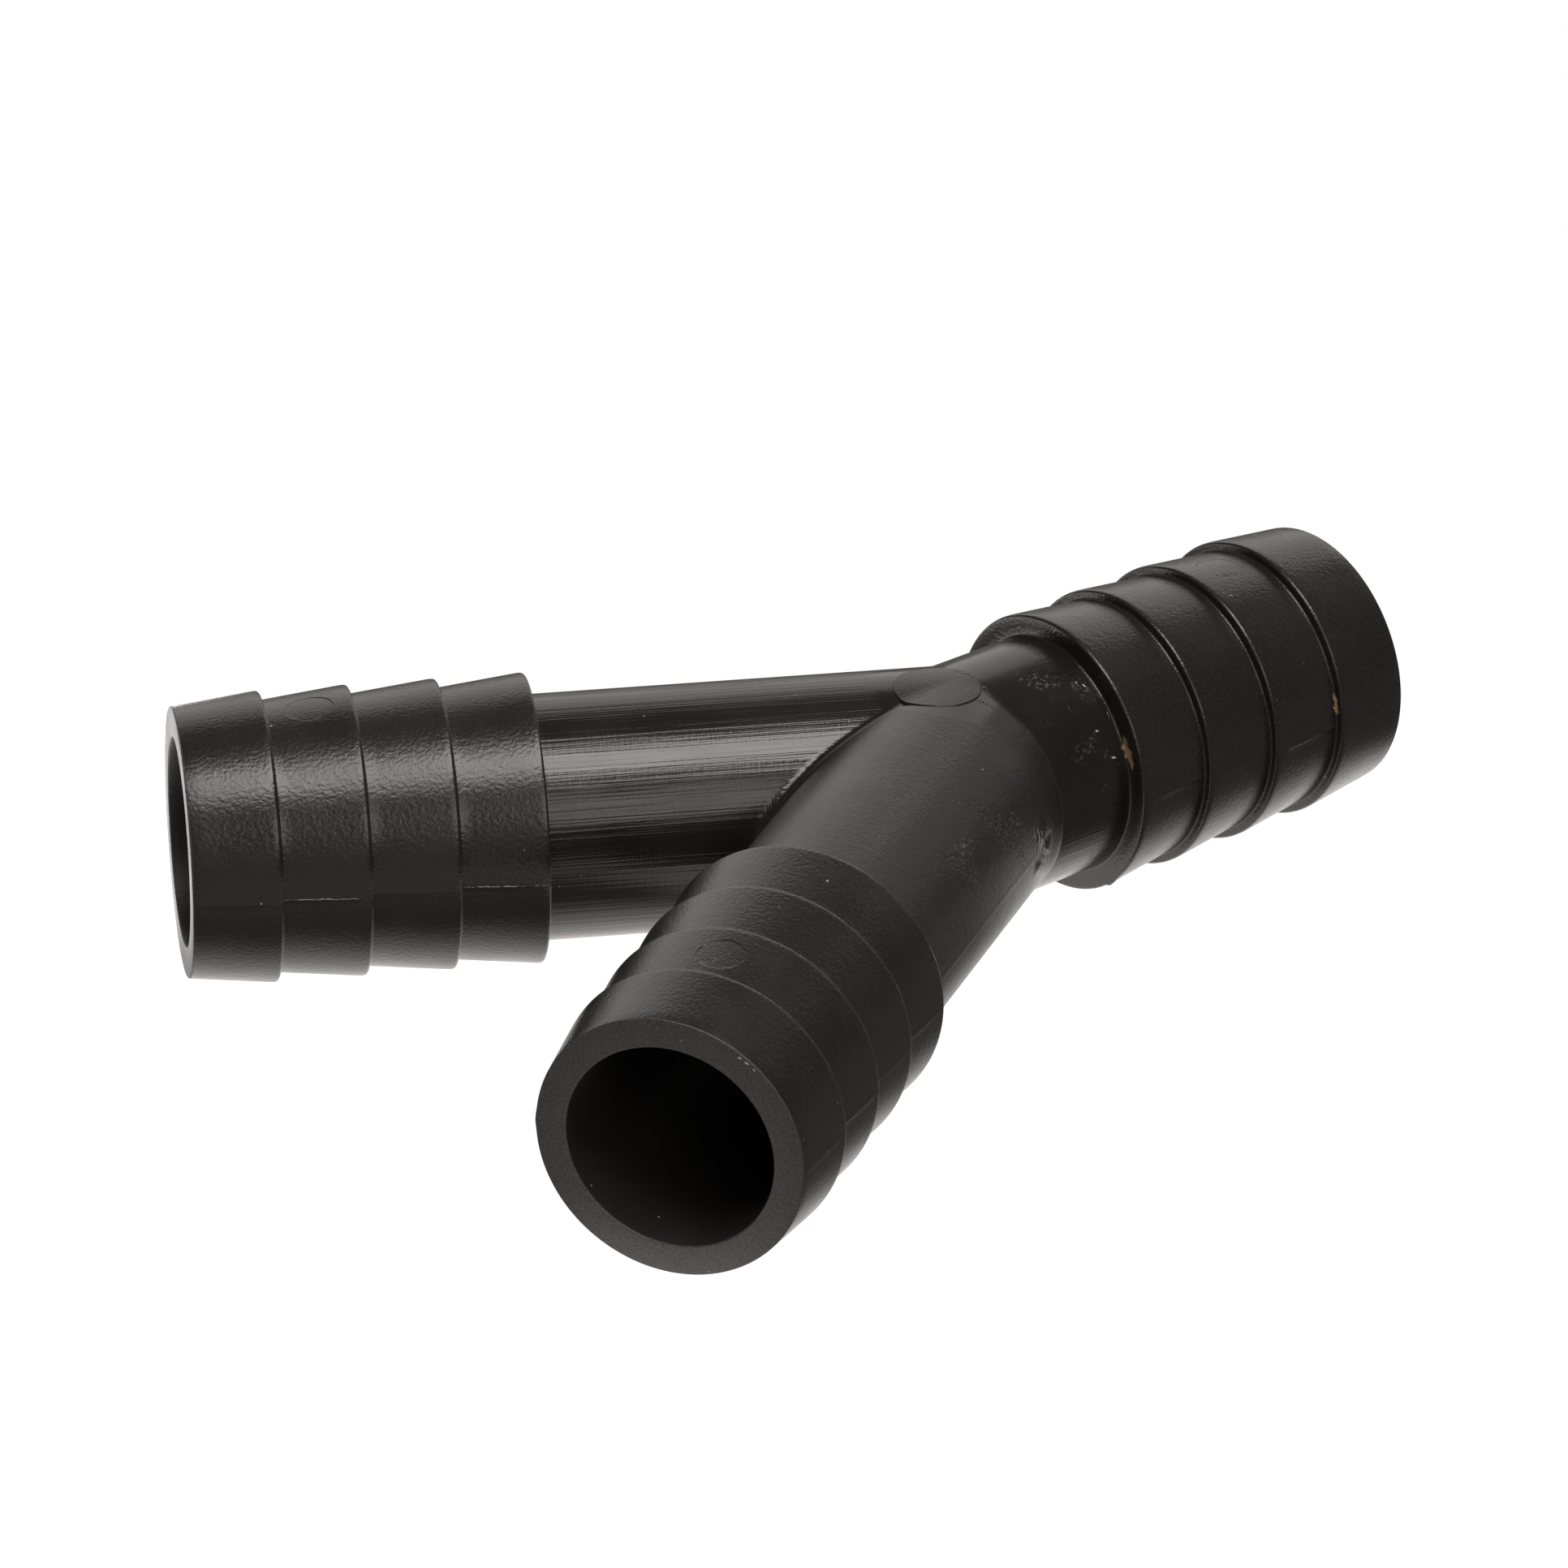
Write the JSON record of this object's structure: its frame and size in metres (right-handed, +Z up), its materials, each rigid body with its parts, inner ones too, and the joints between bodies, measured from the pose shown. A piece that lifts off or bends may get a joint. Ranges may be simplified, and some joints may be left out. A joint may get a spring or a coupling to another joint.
{
  "type": "barbed hose y connector",
  "caption": "Barbed Y connector that splits one hose into two, with a short barbed stem and a pair of longer barbed branches set 60 degrees apart, in black plastic.",
  "frame": {"origin": "centre of the stem's mouth, on the stem's axis", "axes": "+X out of the stem along its axis, the branches run back towards -X and spread along Y, all three axes lie in the XY plane, and +Z is up, on the gate pad's side"},
  "size_m": [0.0843, 0.0702, 0.02],
  "materials": {
    "black_plastic": "satin black moulded polypropylene"
  },
  "bodies": {
    "root": {"y_connector": "black_plastic"}
  },
  "joints": []
}
